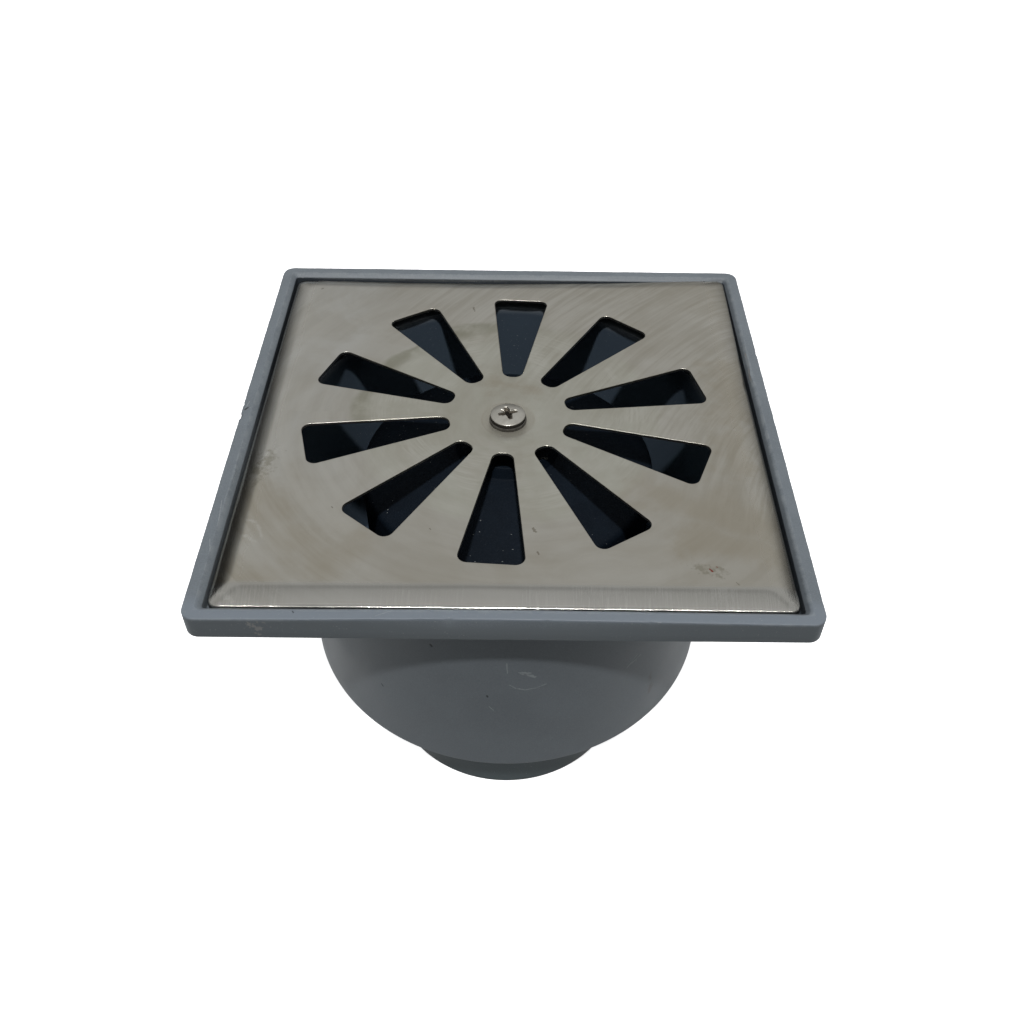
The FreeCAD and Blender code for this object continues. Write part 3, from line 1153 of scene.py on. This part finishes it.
def smudges(tree, place):
    """Grime in blots, and in wide arcs where it was wiped."""
    blots = fade(tree, noise_of(tree, place, 0.035, 4, 0.6, 1.2), 0.38, 0.64)
    wiped = strokes_about(tree, place, (24, -14, 0), 0.11, 1.3)
    return calc(tree, "MULTIPLY_ADD", blots, 0.55, product(tree, wiped, 0.45))


def rubbed_film(tree, place, distance):
    """A thin film rubbed on about the hub, and its dark rim behind the hub on the left."""
    parts = axes(tree, place)
    uneven = calc(tree, "MULTIPLY_ADD", noise_of(tree, place, 0.06, 3, 0.6), 12.0, -6.0)
    reach = calc(tree, "ADD", distance, uneven)
    rim = product(tree, fade(tree, reach, 35.0, 41.0), fade(tree, reach, 44.5, 42.0))
    behind = fade(tree, calc(tree, "SUBTRACT", parts["Y"], parts["X"]), 22.0, 46.0)
    broken = fade(tree, noise_of(tree, place, 0.12, 3, 0.6), 0.25, 0.55, 0.2, 1.0)
    return fade(tree, reach, 45.0, 40.0), product(tree, rim, behind, broken)


def seat_ring(tree, place, from_screw):
    """A broken brown ring at the edge of the screw's seat."""
    ring = product(tree, fade(tree, from_screw, 6.7, 7.2), fade(tree, from_screw, 7.7, 7.3))
    return product(tree, ring, fade(tree, noise_of(tree, place, 0.25, 3, 0.6), 0.36, 0.60))


def painted_edge_shade(tree, parts, on_border, on_side):
    """Painted shade low on the turned edge: along the middle of the front, and along the sides."""
    front_low = fade(tree, parts["Z"], grate_top - 1.35, grate_top - 1.7)
    front_middle = product(tree, fade(tree, parts["X"], -56.0, -44.0), fade(tree, parts["X"], 43.0, 39.0))
    side_low = fade(tree, parts["Z"], grate_top - 1.2, grate_top - 1.6)
    behind_border = fade(tree, on_border, 1.0, 0.0, 0.0, 0.8)
    front_left = product(tree, fade(tree, parts["X"], -50.0, -60.0), fade(tree, parts["Y"], 10.0, -30.0))
    side = less(tree, product(tree, side_low, on_side, behind_border), front_left, 0.6)
    return calc(tree, "MAXIMUM", product(tree, on_border, front_low, front_middle, 0.7), side)


def make_stainless_sheet():
    """Dull stainless sheet with swirled rubbing strokes, smudges, stains and scratches on its border, and
    painted shade on the border and low on its turned edge.
    """
    material, tree, shader, place = new_material("stainless sheet")
    parts = axes(tree, place)
    distance = from_axis(tree, place)
    from_screw = from_axis(tree, place, seat_offset)
    in_seat = fade(tree, from_screw, 8.6, 6.4)
    on_border = fade(tree, parts["Y"], 1.9 - crest_reach, 0.1 - crest_reach)
    on_side = fade(tree, calc(tree, "ABSOLUTE", parts["X"]), 60.0, 66.5)
    back_right = fade(tree, calc(tree, "ADD", parts["X"], parts["Y"]), -10.0, 45.0)
    clean = product(tree, fade(tree, parts["X"], -22.0, -55.0), fade(tree, parts["Y"], -42.0, -12.0))
    far = strokes_about(tree, place, (150, -60, 0), 0.55, 5.0)
    strokes = rubbing_strokes(tree, place, far, back_right)
    smudge = smudges(tree, place)
    film, film_rim = rubbed_film(tree, place, distance)
    across = border_strokes(tree, place)
    stains = marks_mask(tree, place, sheet_stains, -0.2)
    texture = grain_of(tree, place, 0.25, 45.0)
    base = mottled(tree, texture, (0.562, 0.533, 0.470), (0.607, 0.582, 0.520))
    base = painted(tree, base, [
        ((0.665, 0.655, 0.615), clean, 0.8),
        ((0.612, 0.607, 0.515), film, 0.75),
        ((0.455, 0.415, 0.335), smudge, 0.50),
        ((0.465, 0.412, 0.318), marks_mask(tree, place, brown_patches, 0.0), 0.65),
        ((0.440, 0.405, 0.330), less(tree, back_right, far, 1.0), 0.45),
        ((0.700, 0.676, 0.612), strokes, 0.50),
        ((0.740, 0.720, 0.650), hub_scratches(tree, place, distance), 0.55),
        ((0.36, 0.345, 0.265), film_rim, 0.75),
        ((0.33, 0.27, 0.20), seat_ring(tree, place, from_screw), 0.4),
        ((0.385, 0.365, 0.305), in_seat, 0.85),
        # Painted shade: the sloping border is painted darker than the flat.
        ((0.515, 0.505, 0.475), on_border, 0.7),
        # Painted shade: the low turned edge is painted dark, along the front's middle and the sides.
        ((0.15, 0.148, 0.140), painted_edge_shade(tree, parts, on_border, on_side), 1.0),
        ((0.74, 0.72, 0.68), across, 0.45),
        ((0.37, 0.345, 0.275), stains, 0.70),
        ((0.78, 0.765, 0.71), marks_mask(tree, place, bright_rubs, -0.4), 0.38),
        ((0.19, 0.16, 0.11), marks_mask(tree, place, sheet_specks), 0.6),
        ((0.30, 0.03, 0.02), marks_mask(tree, place, rust_specks), 0.85),
    ])
    dull = calc(tree, "MULTIPLY_ADD", smudge, 0.10, 0.30)
    dull = calc(tree, "MULTIPLY_ADD", strokes, 0.07, dull)
    dull = calc(tree, "MULTIPLY_ADD", stains, 0.12, dull)
    dull = mix_values(tree, calc(tree, "MAXIMUM", on_border, on_side), dull, 0.17)
    normal = bump(tree, noise_of(tree, place, 0.028, 2, 0.5), 0.5)
    height = calc(tree, "MULTIPLY_ADD", texture["Grain"], 0.2, product(tree, strokes, 0.6))
    normal = bump(tree, height, 0.010, normal)
    set_inputs(tree, shader, {
        "Base Color": base,
        "Metallic": calc(tree, "MULTIPLY_ADD", in_seat, -0.55, 1.0),
        "Roughness": dull,
        "Normal": bump(tree, across, 0.03, normal),
    })
    return material


# The steel of the washer and the screw


def make_fastener_steel():
    """Bright plated steel, with dirt in the cross recess, and painted shade on the head's side and over the
    washer.
    """
    material, tree, shader, place = new_material("fastener steel")
    height = axes(tree, place)["Z"]
    reach = from_axis(tree, place, seat_offset)
    in_cross = product(tree, fade(tree, reach, 3.4, 3.1), fade(tree, height, crown - 0.36, crown - 0.55))
    dirt = product(tree, in_cross, fade(tree, noise_of(tree, place, 1.4, 3, 0.6), 0.2, 0.5, 0.6, 1.0))
    side_top = head_seat + head_side
    # Painted shade: the head's side is painted nearly black, duller and not metallic.
    painted_shade_on_side = fade(tree, height, side_top - 0.08, side_top - 0.2)
    outside_head = fade(tree, reach, head_radius + 0.02, head_radius + 0.08)
    # Painted shade: the washer is painted dim grey, unevenly with noise.
    painted_shade_on_washer = product(tree, fade(tree, height, head_seat + 0.10, head_seat + 0.04), outside_head)
    rubbed = fade(tree, noise_of(tree, place, 1.0, 2, 0.6), 0.35, 0.60, 0.45, 1.0)
    texture = grain_of(tree, place, 0.3, 3.0)
    base = mottled(tree, texture, (0.62, 0.59, 0.52), (0.71, 0.68, 0.61))
    base = painted(tree, base, [
        ((0.17, 0.148, 0.118), dirt, 1.0),
        ((0.016, 0.014, 0.012), painted_shade_on_side, 0.96),
        ((0.125, 0.118, 0.104), painted_shade_on_washer, rubbed),
    ])
    dull = calc(tree, "MULTIPLY_ADD", texture["Mottle"], 0.08, 0.30)
    dull = calc(tree, "MULTIPLY_ADD", painted_shade_on_side, 0.20, dull)
    set_inputs(tree, shader, {
        "Base Color": base,
        "Metallic": calc(tree, "MULTIPLY_ADD", painted_shade_on_side, -0.97, 1.0),
        "Roughness": calc(tree, "MULTIPLY_ADD", dirt, 0.40, dull),
        "Specular IOR Level": 0.05,
        "Normal": bump(tree, texture["Grain"], 0.008),
    })
    return material


def dress(piece, node, material):
    """Gives the piece its material, and puts it in the place of its CAD node."""
    piece.data.materials.clear()
    piece.data.materials.append(material)
    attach(piece, "root")
    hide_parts(node)


grey_plastic = make_grey_plastic()
dark_plastic = make_dark_plastic()
stainless_sheet = make_stainless_sheet()
fastener_steel = make_fastener_steel()

dress(make_body(), "trap_body", grey_plastic)
dress(make_bell(), "bell_cup", dark_plastic)
dress(make_grate(), "grate", stainless_sheet)
dress(make_washer(), "washer", fastener_steel)
dress(make_screw(), "screw", fastener_steel)


# The floor, the light and the camera


def make_floor():
    """A plain pale floor, which the object stands on."""
    bpy.ops.object.select_all(action="DESELECT")
    bpy.ops.mesh.primitive_plane_add(size=8)
    floor = bpy.context.object
    floor.name = "floor"
    material = bpy.data.materials.new("pale floor")
    material.use_nodes = True
    tree = material.node_tree
    set_inputs(tree, tree.nodes["Principled BSDF"], {
        "Base Color": colour(0.9, 0.9, 0.9),
        "Roughness": 0.9,
        "Specular IOR Level": 0.1,
        "Emission Color": colour(1, 1, 1),
        "Emission Strength": 0.9,
    })
    floor.data.materials.append(material)
    floor.visible_diffuse = False
    floor.visible_glossy = False


def make_studio_light():
    """Soft light, brightest overhead and behind, one crisp lamp from the front, and the floor's bounce."""
    world = bpy.data.worlds.new("studio")
    bpy.context.scene.world = world
    world.use_nodes = True
    tree = world.node_tree
    direction = tree.nodes.new("ShaderNodeTexCoord").outputs["Generated"]
    parts = axes(tree, direction)
    back = fade(tree, parts["Z"], -0.02, 0.55, 0.10, 0.50)
    shade = product(tree, fade(tree, parts["Z"], 0.82, 0.90), fade(tree, parts["Z"], 0.98, 0.92))
    back = calc(tree, "MULTIPLY_ADD", shade, -0.16, back)
    front = fade(tree, parts["Z"], 0.5, 0.97, 0.04, 0.52)
    sky = mix_values(tree, fade(tree, parts["Y"], -0.45, 0.35), front, back)
    aside = fade(tree, calc(tree, "ABSOLUTE", calc(tree, "SUBTRACT", parts["X"], 0.07)), 0.46, 0.70)
    aside = product(tree, aside, fade(tree, parts["Z"], 0.62, 0.45))
    sky = less(tree, sky, aside, 0.95)
    ground = fade(tree, parts["Y"], -0.6, 0.5, 0.15, 0.72)
    level = mix_values(tree, fade(tree, parts["Z"], -0.10, 0.02), ground, sky)
    seen = tree.nodes.new("ShaderNodeLightPath").outputs["Is Camera Ray"]
    level = calc(tree, "MAXIMUM", level, seen)
    set_inputs(tree, tree.nodes["Background"], {"Color": colour(0.97, 0.99, 1.0), "Strength": level})
    bpy.ops.object.light_add(type="SUN")
    lamp = bpy.context.object
    lamp.name = "front lamp"
    lamp.rotation_euler = (math.radians(27), 0, 0)
    lamp.data.energy = 1.5
    lamp.data.angle = math.radians(2.5)
    bpy.ops.object.light_add(type="AREA", location=(0, -0.06, 0.001), rotation=(math.pi, 0, 0))
    bounce = bpy.context.object
    bounce.name = "floor bounce"
    bounce.data.shape = "RECTANGLE"
    bounce.data.size = 0.09
    bounce.data.size_y = 0.03
    bounce.data.energy = 0.003
    bounce.visible_camera = False
    bounce.visible_glossy = False


def make_camera():
    """The camera that the photograph was taken with."""
    data = bpy.data.cameras.new("camera")
    camera = bpy.data.objects.new("camera", data)
    bpy.context.scene.collection.objects.link(camera)
    camera.location = camera_place
    camera.rotation_euler = [math.radians(angle) for angle in camera_turn]
    data.lens = camera_lens
    data.sensor_width = 36
    data.shift_x = camera_shift
    data.clip_start = 0.01
    bpy.context.scene.camera = camera


make_floor()
make_studio_light()
make_camera()
bpy.context.scene.view_settings.view_transform = "Standard"
